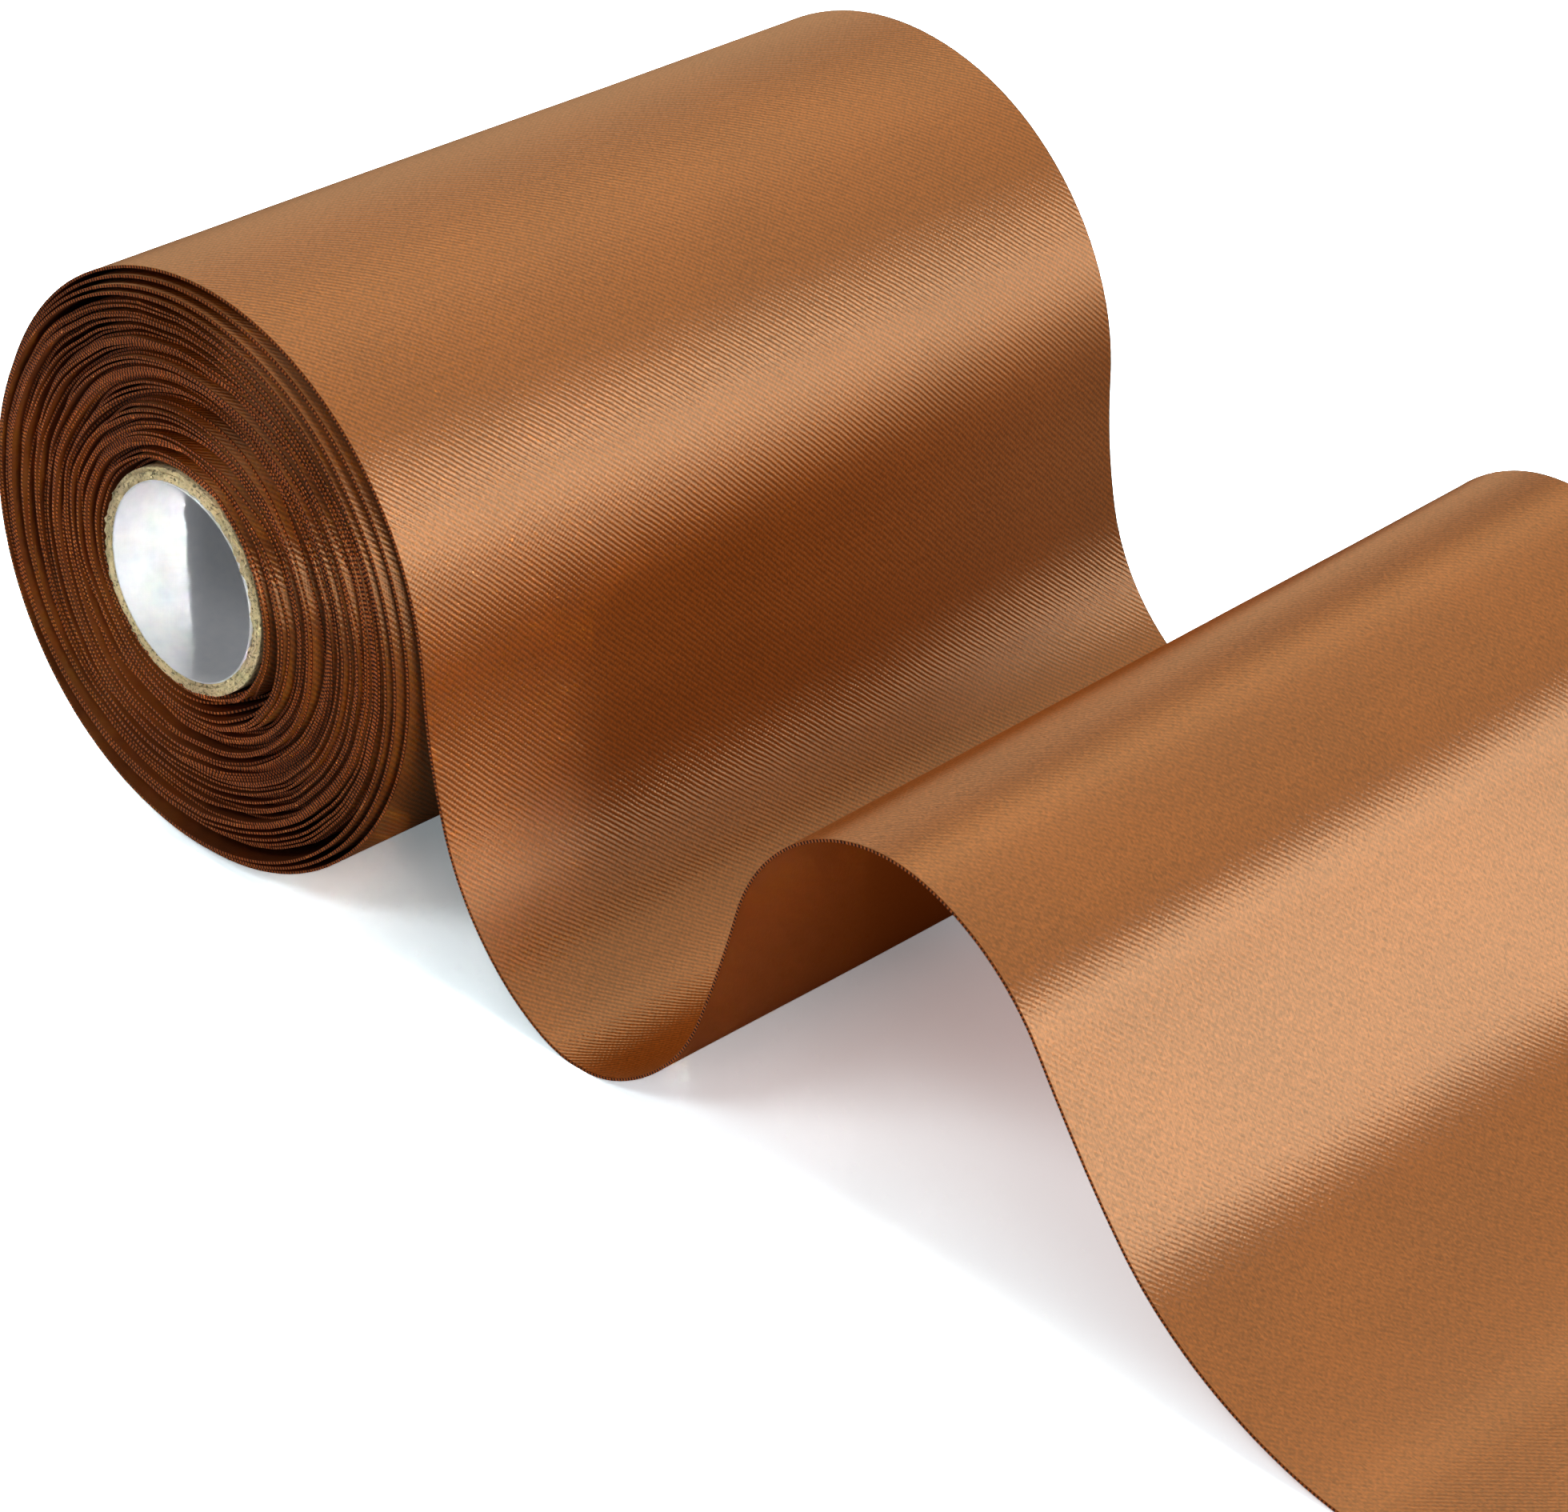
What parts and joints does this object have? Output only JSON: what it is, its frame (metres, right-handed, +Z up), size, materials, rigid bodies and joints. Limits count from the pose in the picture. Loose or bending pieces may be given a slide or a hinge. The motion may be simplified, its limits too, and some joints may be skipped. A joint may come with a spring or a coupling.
{
  "type": "satin ribbon roll",
  "caption": "Wide copper-coloured satin ribbon wound on a paperboard core, its leading end drawn off in one wave with a straight cut tail.",
  "frame": {"origin": "centre of the core's bore, halfway along it", "axes": "+Y along the bore, +X the way the ribbon is drawn off, +Z up"},
  "size_m": [0.2433, 0.1018, 0.0648],
  "materials": {
    "satin": "copper-coloured satin, glossy face outwards",
    "core_board": "rough tan paperboard",
    "liner_paper": "white glazed paper",
    "starter_tape": "clear adhesive tape"
  },
  "bodies": {
    "free_ribbon": {"loose_turns": "satin", "ribbon_lead": "satin", "ribbon_tail": "satin"},
    "roll": {"bore_liner": "liner_paper", "core_inner_ply": "core_board", "core_middle_ply": "core_board", "core_outer_ply": "core_board", "starter_tape": "starter_tape", "wound_turns": "satin"}
  },
  "joints": [
    {"name": "roll_turn", "type": "hinge", "parent": "free_ribbon", "child": "roll", "pos_m": [0, 0, 0], "axis": [0, 1, 0], "continuous": true}
  ]
}
